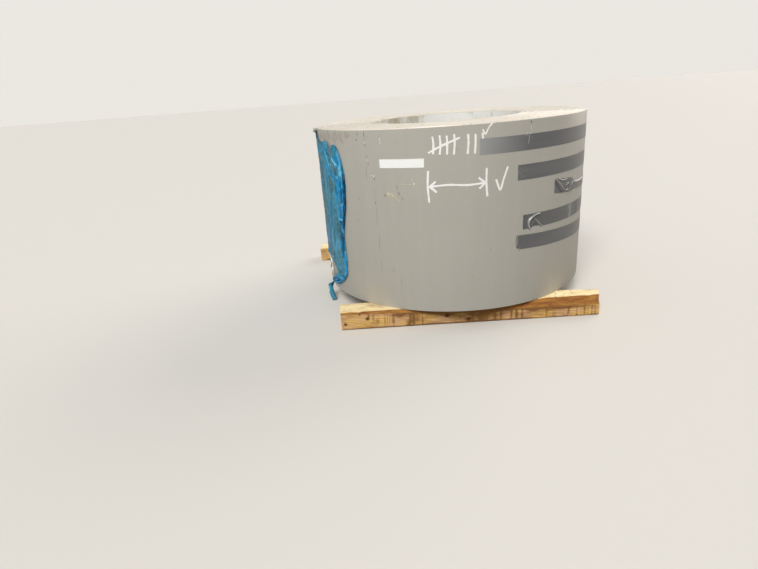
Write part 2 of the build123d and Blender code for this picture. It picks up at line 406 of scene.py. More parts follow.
# ---------------------------------------------------------------- geometry node trees
def round_axis(add, given, radius, angle, z):
    """The place at a radius, an angle and a height round the coil's axis."""
    x = add("Math", {0: radius, 1: add("Math", {0: angle}, "SINE")}, "MULTIPLY")
    front = add("Math", {0: radius, 1: add("Math", {0: angle}, "COSINE")}, "MULTIPLY")
    y = add("Math", {0: front, 1: -1.0}, "MULTIPLY")
    return add("VectorMath", {0: add("CombineXYZ", {0: x, 1: y, 2: z}), 1: given["Axis"]})


def wound_strip_tree():
    """A flat strip as long as its number of laps, wound into a coil. Its first and last
    laps are as thick as the strip; those between grow thicker, so that each stands for
    several. The laps slide along each other a little at random."""
    tree, add, given = new_geometry_tree("wound_strip", {
        "Float": (
            "Bore radius", "Outer radius", "Gauge", "Width", "Tail angle", "Slip", "Edge round",
        ),
        "Vector": ("Axis",), "Int": ("Laps", "Steps per lap"),
        "Material": ("Paint", "Slit edge", "Backer coat"),
    })
    laps = given["Laps"]
    build_up = add("Math", {0: given["Outer radius"], 1: given["Bore radius"]}, "SUBTRACT")
    lap_unit = add("Math", {0: build_up, 1: laps}, "DIVIDE")
    high = add("Math", {0: given["Width"], 1: lap_unit}, "DIVIDE")
    line = add("GeometryNodeCurvePrimitiveLine", {"End": add("CombineXYZ", {0: laps})})
    steps = add("Math", {0: laps, 1: given["Steps per lap"]}, "MULTIPLY")
    line = add("GeometryNodeResampleCurve", {"Curve": line, "Count": steps})
    line = add("GeometryNodeSetCurveNormal", {"Curve": line}, mode="Z_UP")
    section = add("GeometryNodeCurvePrimitiveQuadrilateral", {"Width": 1.0, "Height": high})
    section = add(
        "GeometryNodeFilletCurve",
        {"Curve": section, "Count": 1, "Radius": given["Edge round"]}, mode="POLY",
    )
    strip = add(
        "GeometryNodeCurveToMesh", {"Curve": line, "Profile Curve": section, "Fill Caps": True}
    )
    flat = add("SeparateXYZ", {0: add("GeometryNodeInputPosition")}).outputs
    share = add("MapRange", {0: flat[1], 1: -0.5, 2: 0.5, 3: 0.0, 4: 0.985})
    strip = add(
        "GeometryNodeStoreNamedAttribute", {"Geometry": strip, "Name": "share", "Value": share}
    )
    # The radius: every lap adds the gauge, and those between add what is left over
    lap = add("Math", {0: flat[0], 1: share})
    all_laps = add("Math", {0: laps, 1: 1.0})
    fine = add("Math", {0: lap, 1: given["Gauge"]}, "MULTIPLY")
    all_fine = add("Math", {0: all_laps, 1: given["Gauge"]}, "MULTIPLY")
    spare = add("Math", {0: build_up, 1: all_fine}, "SUBTRACT")
    coarse = add(
        "MapRange", {0: lap, 1: 0.0, 2: all_laps, 3: 0.0, 4: spare},
        interpolation_type="SMOOTHSTEP",
    )
    radius = add("Math", {0: add("Math", {0: fine, 1: coarse}), 1: given["Bore radius"]})
    back = add("Math", {0: flat[0], 1: laps}, "SUBTRACT")
    angle = add("Math", {0: back, 1: 2 * pi, 2: given["Tail angle"]}, "MULTIPLY_ADD")
    # The slip: groups of laps stand proud, and each lap in them a little more or less
    groups = add("TexNoise", {1: lap, 2: 0.37, 3: 1.0}, noise_dimensions="1D")
    jitter = add("TexNoise", {1: lap, 2: 2.3, 3: 1.0}, noise_dimensions="1D")
    slide = add("Math", {
        0: add("MapRange", {0: groups, 1: 0.32, 2: 0.68, 4: 0.8}),
        1: add("MapRange", {0: jitter, 1: 0.3, 2: 0.7, 4: 0.2}),
    })
    near_tail = add("MapRange", {0: back, 1: -6.0, 2: -2.0, 3: given["Slip"], 4: 0.0})
    near_bore = add("MapRange", {0: lap, 1: 1.0, 2: 5.0})
    slide = add("Math", {0: slide, 1: near_tail}, "MULTIPLY")
    slide = add("Math", {0: slide, 1: near_bore}, "MULTIPLY")
    z = add("Math", {0: flat[2], 1: lap_unit, 2: slide}, "MULTIPLY_ADD")
    wall_place = add("CombineXYZ", {
        0: add("Math", {0: angle, 1: given["Outer radius"]}, "MULTIPLY"),
        2: add("Math", {0: flat[2], 1: lap_unit}, "MULTIPLY"),
    })
    strip = add(
        "GeometryNodeStoreNamedAttribute",
        {"Geometry": strip, "Name": "wall", "Value": wall_place}, data_type="FLOAT_VECTOR",
    )
    wound = round_axis(add, given, radius, angle, z)
    coil = add("GeometryNodeSetPosition", {"Geometry": strip, "Position": wound})
    bend = add("GeometryNodeInputMeshEdgeAngle")
    sharp = add("FunctionNodeCompare", {0: bend, 1: radians(25)}, "GREATER_THAN")
    coil = add("GeometryNodeSetShadeSmooth", {"Geometry": coil})
    coil = add(
        "GeometryNodeSetShadeSmooth",
        {"Geometry": coil, "Selection": sharp, "Shade Smooth": False}, domain="EDGE",
    )
    facing = add("SeparateXYZ", {0: add("GeometryNodeInputNormal").outputs["True Normal"]})
    upright = add("Math", {0: facing.outputs[2]}, "ABSOLUTE")
    on_edge = add("FunctionNodeCompare", {0: upright, 1: 0.3}, "GREATER_THAN")
    stored = add("GeometryNodeInputNamedAttribute", {"Name": "share"})
    inside = add("FunctionNodeCompare", {0: stored, 1: 0.02}, "LESS_THAN")
    coil = add("GeometryNodeRealizeInstances", {0: coil})
    for part, finish in ((True, "Paint"), (inside, "Backer coat"), (on_edge, "Slit edge")):
        coil = add(
            "GeometryNodeSetMaterial",
            {"Geometry": coil, "Selection": part, "Material": given[finish]},
        )
    add("NodeGroupOutput", {0: coil})
    return tree


def wrap_tree():
    """Bends what is drawn flat round the coil. Flat, X runs along the wall from the angle
    0, -Y is how far out a point lies, and Z is its height. The wall is a spiral, one gauge
    smaller past its tail than before it."""
    tree, add, given = new_geometry_tree("wrapped_round_coil", {
        "Float": ("Outer radius", "Gauge", "Tail angle"), "Vector": ("Axis",),
        "Material": ("Material",),
    })
    position = add("GeometryNodeInputPosition")
    flat = add("SeparateXYZ", {0: position}).outputs
    shape = add(
        "GeometryNodeStoreNamedAttribute",
        {"Geometry": given["Geometry"], "Name": "wall", "Value": position},
        data_type="FLOAT_VECTOR",
    )
    angle = add("Math", {0: flat[0], 1: given["Outer radius"]}, "DIVIDE")
    past = add("Math", {0: angle, 1: given["Tail angle"]}, "SUBTRACT")
    step = add(
        "MapRange", {0: past, 1: 0.0, 2: 0.012, 3: 0.0, 4: -1.0},
        interpolation_type="SMOOTHSTEP",
    )
    turns = add("Math", {0: add("Math", {0: past, 1: 2 * pi}, "DIVIDE"), 1: step})
    spiral = add(
        "Math", {0: turns, 1: given["Gauge"], 2: given["Outer radius"]}, "MULTIPLY_ADD"
    )
    radius = add("Math", {0: spiral, 1: flat[1]}, "SUBTRACT")
    bent = round_axis(add, given, radius, angle, flat[2])
    shape = add("GeometryNodeSetPosition", {"Geometry": shape, "Position": bent})
    shape = add("GeometryNodeRealizeInstances", {0: shape})
    shape = add(
        "GeometryNodeSetMaterial", {"Geometry": shape, "Material": given["Material"]}
    )
    add("NodeGroupOutput", {0: shape})
    return tree


def stroke_tree():
    """Strokes of a broad marker along drawn lines: rounded corners, blunt ends and an
    uneven width."""
    tree, add, given = new_geometry_tree("marker_strokes", {"Float": ("Width", "Thickness")})
    lines = add("GeometryNodeMeshToCurve", {0: given["Geometry"]})
    lines = add("GeometryNodeCurveSplineType", {"Curve": lines}, spline_type="CATMULL_ROM")
    lines = add("GeometryNodeResampleCurve", {"Curve": lines, "Length": 0.003}, mode="LENGTH")
    uneven = add("TexNoise", {0: add("GeometryNodeInputPosition"), 2: 60.0, 3: 2.0})
    uneven = add("MapRange", {0: uneven, 1: 0.3, 2: 0.7, 3: 0.8, 4: 1.2})
    half = add("Math", {0: given["Width"], 1: 0.5}, "MULTIPLY")
    wide = add("Math", {0: half, 1: uneven}, "MULTIPLY")
    section = add("GeometryNodeCurvePrimitiveCircle", {"Resolution": 8, "Radius": 1.0})
    strokes = add(
        "GeometryNodeCurveToMesh",
        {"Curve": lines, "Profile Curve": section, "Scale": wide, "Fill Caps": True},
    )
    flat = add("SeparateXYZ", {0: add("GeometryNodeInputPosition")}).outputs
    squash = add("Math", {0: given["Thickness"], 1: given["Width"]}, "DIVIDE")
    thin = add("Math", {0: flat[1], 1: squash}, "MULTIPLY")
    thin = add("Math", {0: thin, 1: given["Thickness"]}, "SUBTRACT")
    pressed = add("CombineXYZ", {0: flat[0], 1: thin, 2: flat[2]})
    strokes = add("GeometryNodeSetPosition", {"Geometry": strokes, "Position": pressed})
    add("NodeGroupOutput", {0: strokes})
    return tree


wrapped = wrap_tree()
strokes_drawn = stroke_tree()


def wrap(material):
    """The step that bends a flat piece round the coil, with its material."""
    return wrapped, {
        "Outer radius": outer_radius, "Gauge": strip_gauge, "Tail angle": tail_angle,
        "Axis": (axis.x, axis.y, 0.0), "Material": material,
    }


def thicken(thickness, offset):
    """The step that gives a sheet its wall, in millimetres, to one side or the other."""
    return "SOLIDIFY", {"thickness": thickness * MM, "offset": offset}


# ---------------------------------------------------------------- the coil
new_piece("coil_winding", bpy.data.meshes.new("blank"), [(wound_strip_tree(), {
    "Bore radius": bore_radius, "Outer radius": outer_radius, "Gauge": strip_gauge,
    "Width": strip_width, "Axis": tuple(axis), "Laps": 62, "Steps per lap": 144,
    "Tail angle": tail_angle, "Slip": highest_slip, "Edge round": 0.1,
    "Paint": coil_paint, "Slit edge": slit_edge, "Backer coat": backer_coat,
})], "painted_steel", "coil", sharp=None)

# ---------------------------------------------------------------- tapes
tape_width, tape_lift, tape_rows = 47.0 * MM, 0.5 * MM, 30
# Short steps along a tape where its creases are, and long ones after them
creased_length, short_step, long_step = 0.23, 0.0016, 0.005
# How far from its left end a tape's tone is changed, a painted reflection, and how its ends
# are torn
pale_reach, tear_reach, tear_depth = 0.16, 0.01, 0.9 * MM


def distance_to(x, z, line):
    """How far points lie from an open line."""
    best = np.full(x.shape, 9.0)
    for (x0, z0), (x1, z1) in zip(line[:-1], line[1:]):
        length = (x1 - x0) ** 2 + (z1 - z0) ** 2
        t = np.clip(((x - x0) * (x1 - x0) + (z - z0) * (z1 - z0)) / length, 0, 1)
        best = np.minimum(best, np.hypot(x - x0 - t * (x1 - x0), z - z0 - t * (z1 - z0)))
    return best


def spread(places, values):
    """Values read between (place, value) pairs, all in millimetres."""
    return np.interp(values, *(np.array(places) * MM).T) if places else np.zeros_like(values)


def fading(values, reach):
    """1 where values are 0, falling to 0 at the reach."""
    return np.clip(1 - values / reach, 0, 1)


def tape(number, start, end, middle, fall, ridges, rumple, corner, lower=(), upper=(), pale=0.0,
         tone=0.0):
    """A strip of duct tape. start and end are angles, middle and fall the heights of its
    middle, in millimetres. Each ridge is a line of (along, up) places from the tape's lower
    left corner, with its height, its half width and how much lighter it is painted, partly its
    whitening and partly a painted highlight on its crest, or how much darker if that is
    negative, partly dirt and residue and partly a painted shade in a fold. corner rounds its
    left corners, and lower and upper shift its long edges as (along, up) pairs. pale is how
    much lighter its left end is painted, and tone how much lighter the whole of it is, each
    darker if negative, and both a painted reflection."""
    s0, s1 = arc(start), arc(end)
    creased_end = min(s0 + creased_length, s1)
    along = np.concatenate(
        (np.arange(s0, creased_end, short_step), np.arange(creased_end, s1, long_step), [s1])
    )
    s, share = np.meshgrid(along, np.linspace(0, 1, tape_rows))
    from_left = s - s0
    rounded = corner * MM * (1 - np.sqrt(1 - fading(from_left, corner * MM) ** 2))
    low = spread(lower, from_left) + rounded
    high = tape_width + spread(upper, from_left) - rounded
    t = low + share * (high - low)
    lift = np.full_like(s, tape_lift)
    # A painted reflection changes the tone of the left end and of the whole tape. The ridges
    # paint crests lighter, partly a painted highlight, and folds darker, partly a painted shade,
    # besides real whitening, dirt and glue residue
    worn = tone + pale * fading(from_left, pale_reach)
    for line, peak, half_width, ridge_wear_and_light in ridges:
        near = fading(distance_to(from_left, t, np.array(line) * MM), half_width * MM)
        lift = np.maximum(lift, tape_lift + peak * MM * near**1.3)
        worn = np.where(near > 0, worn + (ridge_wear_and_light - worn) * near**2.5, worn)
    waves = np.array([[noise((x * 26, number * 3.7, y * 60)) for x in s[0]] for y in t[:, 0]])
    loose = np.clip(1.6 - from_left / 0.1, 0.25, 1)
    lift += rumple * MM * np.clip(np.abs(waves) * loose, 0, 1)
    z = height(middle) - tape_width / 2 + t + spread(fall, from_left)
    torn = np.array([noise((number * 7.1, y * 900, 3.3)) for y in t[:, 0]])[:, None]
    s = s + tear_depth * torn * (fading(from_left, tear_reach) - fading(s1 - s, tear_reach))
    mesh = grid_mesh(f"tape_{number}", np.stack((s, -lift, z), -1), worn=worn)
    steps = [thicken(0.25, -1.0), wrap(duct_tape)]
    new_piece(f"duct_tape_{number}", mesh, steps, "tape", f"tape_{number}", sharp=50)


tape(1, 11.0, 121.0, 531.4, [(0, 0), (960, 0)], [
    ([(158, 20), (161, 34), (160, 47)], 1.5, 3, 0.5), ([(149, 42), (151, 47)], 1.2, 2.5, 0.6),
    ([(172, 30), (170, 47)], 0.8, 3, 0.1),
], 0.2, 1.5, pale=0.34)
tape(2, 25.1, 128.0, 442.4, [(0, 0), (905, -4)], [
    ([(1, 27), (10, 19), (22, 8)], 1.7, 2.2, 0.35),
    ([(1, 34), (14, 24), (26, 12)], 1.4, 2.0, 0.25),
    ([(4, 42), (18, 30), (31, 20)], 1.5, 2.2, 0.3),
    ([(2, 19), (10, 10), (16, 3)], 1.2, 2.0, 0.15),
    ([(16, 44), (30, 33), (38, 22)], 0.9, 2.5, 0.12),
], 0.3, 2.0)
tape(3, 42.7, 113.0, 379.9, [(0, 0), (118, -13), (200, -18), (618, -30)], [
    ([(4, 44), (14, 38), (34, 22), (60, 4)], 4.5, 4, 0.5),
    ([(3, 34), (20, 18), (44, 0)], 3.0, 3.5, 0.05),
    ([(12, 47), (40, 40), (70, 42)], 2.0, 4, 0.1),
    ([(60, 20), (84, 30), (104, 44)], 2.5, 4, 0.15),
    ([(84, 2), (96, 20), (112, 30)], 4.5, 5, 0.45),
    ([(100, 4), (108, 18), (118, 26)], 3.5, 4, 0.3),
    ([(118, 30), (150, 27), (200, 30), (260, 32)], 2.6, 6, -0.05),
    ([(66, 6), (90, 8), (112, 12)], 2.0, 3.5, 0.1),
    ([(2, 34), (12, 26), (24, 14), (40, 0)], 0.5, 8, -0.8),
    ([(122, 32), (150, 30), (200, 28), (250, 28)], 2.0, 5, -0.6),
], 1.4, 2.0, lower=[(0, 0), (90, 0), (130, 6), (260, 4), (420, 0), (618, 0)],
    upper=[(0, 0), (112, 0), (121, -13), (260, -10), (420, 0), (618, 0)])
tape(4, 27.7, 132.0, 282.9, [(0, 0), (917, -12)], [
    ([(27, -2), (21, 8), (19, 20), (24, 29), (33, 36), (45, 42), (64, 45)], 6.5, 5, 0.95),
    ([(46, 29), (58, 16), (70, 4), (77, -1)], 3.5, 3.0, 0.45),
    ([(6, 8), (10, 24), (8, 42)], 2.2, 4, 0.0),
    ([(33, 8), (44, 20), (52, 10)], 3.0, 4.5, -0.2),
    ([(2, 2), (3, 24), (4, 45)], 0.8, 10, -0.55),
    ([(30, 22), (36, 30), (48, 37), (58, 40)], 0.5, 5, -0.6),
    ([(34, 6), (50, 14), (66, 4)], 0.6, 9, -0.35),
    ([(232, -2), (238, 22), (234, 46)], 0.6, 26, 0.32),
    ([(212, 30), (224, 34), (232, 40)], 1.0, 5, 0.2),
    ([(296, 4), (300, 24), (296, 44)], 0.6, 40, -0.8),
], 0.5, 2.0, lower=[(0, 0), (32, 0), (38, 5), (66, 5), (74, 0), (917, 0)], tone=-0.13)
tape(5, 25.5, 117.0, 218.4, [(0, 0), (140, -7), (805, -38)], [
    ([(5, 10), (3, 24), (6, 38)], 0.9, 2.5, 0.2),
    ([(7, 1), (2, 6), (0, 14), (0, 33), (3, 42), (9, 47)], 0.3, 3, -0.9),
    ([(4, 3), (10, 5)], 1.2, 3, 0.9),
], 0.25, 9.0, pale=-0.18, tone=-0.02)

# ---------------------------------------------------------------- label
label_angle, label_middle = -16.6, 494.4
label_arc, label_height = 148.7 * MM, 27.0 * MM
label_s = np.linspace(arc(label_angle) - label_arc / 2, arc(label_angle) + label_arc / 2, 60)
label_z = np.linspace(-label_height / 2, label_height / 2, 12) + height(label_middle)
s, z = np.meshgrid(label_s, label_z)
buckles = np.array([[abs(noise((x * 40, 1.7, y * 60))) for x in label_s] for y in label_z])
lift = 0.45 * MM + 0.25 * MM * buckles
mesh = grid_mesh("label", np.stack((s, -lift, z), -1))
new_piece("label_paper", mesh, [thicken(0.2, -1.0), wrap(paper)], "label", "label")

# ---------------------------------------------------------------- wrapping film
# Places on the wall are (angle, millimetres above the coil's lower end)
film_edge = [
    (-65.2, 11), (-61, 14), (-56.2, 29), (-52.3, 49), (-49.9, 66), (-48.1, 88), (-47.6, 112),
    (-47.7, 140), (-47.4, 179), (-47.8, 216), (-46.6, 274), (-44.4, 340), (-43.6, 401),
    (-43.6, 460), (-44.6, 491), (-45.5, 517), (-46.8, 538), (-48.5, 551), (-50.4, 548),
    (-51.6, 534), (-53, 548), (-55, 560), (-58.5, 560), (-62.5, 553), (-66, 560), (-70, 586),
    (-76, 592), (-84, 590), (-98, 583), (-105, 566), (-114, 537), (-112, 430), (-110, 330),
    (-107, 240), (-103, 150), (-98, 80), (-92, 14), (-85, 13), (-81, 60), (-77, 118),
    (-74.4, 127), (-69, 124), (-64.8, 121), (-61.8, 112), (-60.0, 100), (-58.6, 82),
    (-58.6, 62), (-61.8, 44), (-65.4, 22),
]
# The first places run up the gathered hem, and the rest round the torn edge
front_edge_places = 24


def ragged(outline, step, clean_places):
    """The outline on the wall in metres, in short steps, torn to either side: a little at
    its first places, and much more after them."""
    corners = np.array([(arc(a), height(h)) for a, h in outline])
    points = []
    for number, (start, end) in enumerate(zip(corners, np.roll(corners, -1, axis=0))):
        coarse, fine = (0.002, 0.002) if number < clean_places else (0.011, 0.005)
        count = max(1, int(np.linalg.norm(end - start) / step))
        for k in range(count):
            x, z = start + (end - start) * k / count
            points.append([
                place + coarse * noise((x * 22, seed, z * 22))
                + fine * noise((x * 110, seed, z * 110))
                for place, seed in ((x, 5), (z, 9))
            ])
    return np.array(points)


def inside(x, z, outline):
    """Which points lie inside a closed outline, by counting the edges to their right."""
    crossings = np.zeros(x.shape, int)
    for (x0, z0), (x1, z1) in zip(outline, np.roll(outline, -1, axis=0)):
        spans = (z0 > z) != (z1 > z)
        rise = z1 - z0 if z1 != z0 else 1e-9
        crossings += spans & (x < x0 + (z - z0) * (x1 - x0) / rise)
    return crossings % 2 == 1


def creases(x, z, seed, across, along, lean=0.0):
    """Sharp connected creases, from 0 to 1, whose spacing is across and along a direction
    that leans from upright by an angle in degrees."""
    c, s = cos(radians(lean)), sin(radians(lean))
    values = [
        noise(((px * c - pz * s) / across, seed, (px * s + pz * c) / along))
        for px, pz in zip(x.flat, z.flat)
    ]
    return ((1 - np.clip(np.abs(np.array(values)) * 2.2, 0, 1)) ** 2).reshape(x.shape)


def smooth_line(points, step):
    """A smooth line through points, in short steps."""
    points = np.array(points, float)
    points = np.vstack((2 * points[0] - points[1], points, 2 * points[-1] - points[-2]))
    line = []
    for a, b, c, d in zip(points, points[1:], points[2:], points[3:]):
        count = max(2, int(np.linalg.norm(c - b) / step))
        for k in range(count):
            t = k / count
            line.append(0.5 * (
                2 * b + (c - a) * t + (2 * a - 5 * b + 4 * c - d) * t**2
                + (3 * b - a - 3 * c + d) * t**3
            ))
    line.append(points[-2])
    return np.array(line)


def run_along(places, sizes):
    """A smooth flat line through (angle, height, out) places, with its way ahead and its
    size at each point. The sizes, in millimetres, are spread evenly along it."""
    line = smooth_line([(arc(a), -out * MM, height(h)) for a, h, out in places], 2.5 * MM)
    ahead = np.gradient(line, axis=0)
    ahead /= np.linalg.norm(ahead, axis=1)[:, None]
    shares = np.linspace(0, 1, len(line))
    return line, ahead, np.interp(shares, np.linspace(0, 1, len(sizes)), sizes) * MM


# Where the film's folds lie on the wall, each as a line of places with its half width in
# millimetres, how many layers thick it looks, and how much lighter it is painted, a painted
# highlight, or how much darker if negative, a painted shade
film_folds = [
    ([(-79, 600), (-77, 520), (-78.5, 400), (-77, 250), (-78, 60)], 44, 0.24, 0.26),
    ([(-75.5, 600), (-75.2, 480), (-76, 330)], 56, 0.02, 0.38),
    ([(-63, 552), (-59, 530), (-57.5, 495)], 46, 0.62, -0.05),
    ([(-66, 556), (-63, 555)], 14, 0.5, -0.5),
    ([(-57.5, 510), (-57, 478)], 26, 0.75, 0.08),
    ([(-65.5, 505), (-66, 465)], 24, 0.0, 0.2),
    ([(-53.1, 540), (-53.2, 500), (-51.4, 476)], 20, 0.06, 0.05),
    ([(-50.4, 545), (-49.3, 520)], 22, 0.6, -0.1),
    ([(-48.6, 505), (-47.6, 490), (-46.8, 474)], 15, 0.95, 0.0),
    ([(-52.1, 504), (-50.2, 493), (-48.3, 482)], 6, 0.8, 0.85),
    ([(-54.8, 470), (-54.8, 446), (-52.9, 440)], 20, 0.8, 0.18),
    ([(-54.4, 456), (-54.4, 446)], 9, 0.9, -0.2),
    ([(-55.2, 478), (-53.2, 458), (-51.6, 446)], 5, 0.8, 0.55),
    ([(-53.0, 441), (-51.2, 434), (-49.5, 430)], 9, 0.95, -0.05),
    ([(-49.4, 464), (-49.4, 448)], 16, 0.3, -0.1),
    ([(-48.6, 427), (-49.0, 400), (-49.6, 380)], 27, 0.85, 0.0),
    ([(-46.7, 424), (-46.8, 412)], 8, 1.0, -0.3),
    ([(-50.5, 402), (-50.8, 384)], 8, 1.0, -0.35),
    ([(-46.2, 392), (-46.9, 360)], 17, 1.0, -0.3),
    ([(-47.0, 342), (-47.2, 332)], 14, 1.0, 0.05),
    ([(-51.2, 345), (-51.0, 318), (-50.8, 288)], 18, 0.75, 0.12),
    ([(-48.3, 330), (-48.7, 300)], 14, 1.0, -0.08),
    ([(-49.2, 282), (-50.6, 246)], 16, 1.0, -0.65),
    ([(-54.5, 268), (-55.2, 222)], 24, 0.42, -0.05),
    ([(-57.5, 335), (-58.4, 262), (-62.8, 214), (-63.6, 165)], 11, 0.85, -0.35),
    ([(-64.8, 240), (-66.2, 175)], 20, 0.6, 0.12),
    ([(-49.4, 242), (-50.0, 210), (-49.8, 175), (-50.2, 150)], 11, 1.0, -0.7),
    ([(-48.8, 148), (-48.9, 120), (-49.4, 96)], 18, 1.0, 0.1),
    ([(-54.3, 150), (-55.8, 78)], 32, 0.34, 0.15),
    ([(-63.6, 26), (-60.0, 36), (-55.0, 50)], 13, 1.0, -0.45),
    ([(-60.5, 20), (-58.6, 26)], 5, 0.9, 0.6),
    ([(-47.6, 344), (-46.4, 349), (-45.2, 354)], 6, 1.0, 0.5),
    ([(-50.6, 290), (-47.6, 290)], 5, 0.9, 0.6),
    ([(-46.0, 472), (-46.3, 454)], 15, 0.8, 0.85),
    ([(-44.9, 462), (-45.0, 435), (-45.3, 412)], 7, 1.0, 0.8),
    ([(-43.9, 455), (-44.0, 420), (-44.2, 385), (-44.7, 345), (-46.0, 305), (-47.3, 262)],
     7, 1.0, -0.8),
    ([(-48.3, 240), (-48.5, 205), (-48.3, 176)], 5, 1.0, -0.85),
]


def folded(s, z, layers, crest):
    """The look of the film at places on the wall, with its drawn folds laid over it and
    fine crumples near its hem, whose painted highlights and painted shade are part of that look."""
    for line, half_width, thick, pale in film_folds:
        line = [(arc(a), height(h)) for a, h in line]
        near = np.clip(1.35 - 1.35 * distance_to(s, z, line) / (half_width * MM), 0, 1)
        near = near**2 * (3 - 2 * near)
        layers = layers + (thick - layers) * near
        crest = crest + (pale - crest) * near
    near_hem = np.clip(1.15 - distance_to(s, z, hem_line) / 0.11, 0, 1)
    crumples = creases(s, z, 7.0, 0.011, 0.024, -20) - 0.35
    crest = crest + (0.05 + 0.4 * near_hem) * crumples
    layers = layers + (0.1 + 0.15 * near_hem) * crumples
    return np.clip(layers, 0, 1), np.clip(crest, -0.9, 0.9)


# The sheet is a grid of cells inside the torn outline, whose rim is drawn to that outline
film_outline = ragged(film_edge, 0.004, front_edge_places)
hem_line = np.array([(arc(a), height(h)) for a, h in film_edge[:front_edge_places]])
cell = 3.6 * MM
# How far from the hem and from the torn rim the film is creased more, and the share of the
# outline that comes before that rim
hem_reach, rim_reach, before_rim = 0.13, 0.022, 0.36
s, z = np.meshgrid(*(
    np.arange(places.min() - cell, places.max() + cell, cell) for places in film_outline.T
))
kept = inside((s[:-1, :-1] + s[1:, 1:]) / 2, (z[:-1, :-1] + z[1:, 1:]) / 2, film_outline)
used, faces = np.unique(quads(np.arange(s.size).reshape(s.shape))[kept], return_inverse=True)
faces = faces.reshape(-1, 4)
s, z = s.flat[used], z.flat[used]
edges = np.sort(np.vstack([faces[:, [k, (k + 1) % 4]] for k in range(4)]), axis=1)
pairs, times = np.unique(edges, axis=0, return_counts=True)
for i in np.unique(pairs[times == 1]):
    off = np.hypot(film_outline[:, 0] - s[i], film_outline[:, 1] - z[i])
    nearest = film_outline[off.argmin()]
    share = min(1.0, 0.75 * cell / max(off.min(), 1e-6))
    s[i] += (nearest[0] - s[i]) * share
    z[i] += (nearest[1] - z[i]) * share
near_share = fading(distance_to(s, z, hem_line), hem_reach)
torn_line = film_outline[int(len(film_outline) * before_rim) :]
edge_share = fading(distance_to(s, z, torn_line), rim_reach)
long_creases = creases(s, z, 1.0, 0.034, 0.2, 4)
slanting_creases = creases(s, z, 2.0, 0.03, 0.1, -32)
small_creases = creases(s, z, 4.0, 0.013, 0.05, 24)
lift = MM * (
    0.45 + 2.6 * long_creases + (0.6 + 2.6 * near_share) * slanting_creases
    + 1.1 * small_creases + 6.0 * edge_share**2 * creases(s, z, 5.0, 0.04, 0.04)
)
patches = np.array([noise((a * 14, 6.0, b * 6)) for a, b in zip(s, z)])
layers = np.clip(
    0.16 + 0.22 * near_share + 0.3 * patches + 0.25 * slanting_creases
    + 0.3 * long_creases**2 + 0.15 * small_creases + 0.25 * edge_share, 0, 0.75,
)
# Painted highlights on the creases' crests, and darker where the patches lie
crest = np.clip(
    0.3 * near_share * slanting_creases**4 + 0.22 * long_creases**5 + 0.12 * small_creases**4
    - 0.25 * np.clip(patches, 0, 1), -0.4, 0.5,
)
layers, crest = folded(s, z, layers, crest)
mesh = new_mesh("film", np.stack((s, -lift, z), -1), faces.tolist(), layers=layers, crest=crest)
film = new_piece(
    "film_sheet", mesh, [thicken(0.15, 1.0), wrap(film_plastic)], "film", "film", sharp=60
)


def gathered(name, places, radii, seed, material, layer=0.9):
    """A crumpled roll of film along a line of (angle, height, out) places. Its radii are in
    millimetres, and layer is how many layers thick it looks."""
    around = 26
    verts, creased = [], []
    for i, (centre, forward, radius) in enumerate(zip(*run_along(places, radii))):
        side = np.cross(forward, (0, -1.0, 0))
        side /= np.linalg.norm(side)
        up = np.cross(side, forward)
        for a in (2 * pi * j / around for j in range(around)):
            twisted = a + i * 0.03 + 0.8 * noise((i * 0.04, seed, 0))
            fold = abs(noise((cos(twisted) * 1.5, sin(twisted) * 1.5 + seed, i * 0.05)))
            r = radius * (0.7 + 1.2 * fold)
            p = centre + side * r * cos(a) + up * r * 0.75 * sin(a)
            p[1] = min(p[1], -0.35 * MM)
            verts.append(p)
            creased.append(fold)
    verts, creased = np.array(verts), np.array(creased)
    layers, crest = folded(
        verts[:, 0], verts[:, 2], np.clip(layer * (0.75 + 0.9 * creased), 0, 1),
        np.clip(1.6 * (creased - 0.2), -0.15, 0.5),
    )
    # Painted highlights on the roll's folds, and painted shade between them
    crest = crest + 1.2 * np.clip(creased - 0.3, 0, 1) - 0.25 * (creased < 0.06)
    rings = len(verts) // around
    faces = [(a, d, c, b) for a, b, c, d in tube_faces(rings, around)]
    faces.append(list(range(around)))
    faces.append(list(range(rings * around - 1, (rings - 1) * around - 1, -1)))
    mesh = new_mesh(name, verts, faces, layers=layers, crest=np.clip(crest, -0.9, 0.9))
    return new_piece(name, mesh, [wrap(material)], "film", sharp=55)


def ribbon(name, places, widths, seed, material, layer, turn, pale):
    """A loose crumpled strip along a line of (angle, height, out) places, turned out of the
    wall by an angle in degrees. Its widths are in millimetres. pale is how much lighter it is
    painted at its first long edge, in its middle and at its other edge, a painted highlight,
    and how much darker where negative, a painted shade."""
    across = 15
    turned = radians(turn)
    rows = []
    for i, (centre, forward, width) in enumerate(zip(*run_along(places, widths))):
        side = np.cross(forward, (0, 1.0, 0))
        side /= np.linalg.norm(side)
        face = np.cross(side, forward)
        side, face = (
            side * cos(turned) + face * sin(turned), face * cos(turned) - side * sin(turned)
        )
        rows.append([])
        for share in np.linspace(-0.5, 0.5, across):
            fold = noise((share * 5, seed, i * 0.07)) + 0.5 * noise((share * 11, seed, i * 0.2))
            edge = 1 + 0.22 * noise((copysign(3, share), seed, i * 0.14))
            p = centre + side * share * width * edge - face * fold * width * 0.3
            p[1] = min(p[1], -0.4 * MM)
            rows[-1].append(p)
    points = np.array(rows).transpose(1, 0, 2)
    drift = np.array([noise(Vector(p) * 70) for p in points.reshape(-1, 3)])
    from_edge = np.repeat(np.linspace(-1, 1, across), len(rows)) + 0.6 * drift
    crest = np.interp(from_edge, (-1.0, -0.75, 0.2, 0.8), (pale[0], pale[1], pale[1], pale[2]))
    mesh = grid_mesh(name, points, layers=np.full_like(crest, layer), crest=crest)
    return new_piece(name, mesh, [thicken(0.2, 1.0), wrap(material)], "film", sharp=60)


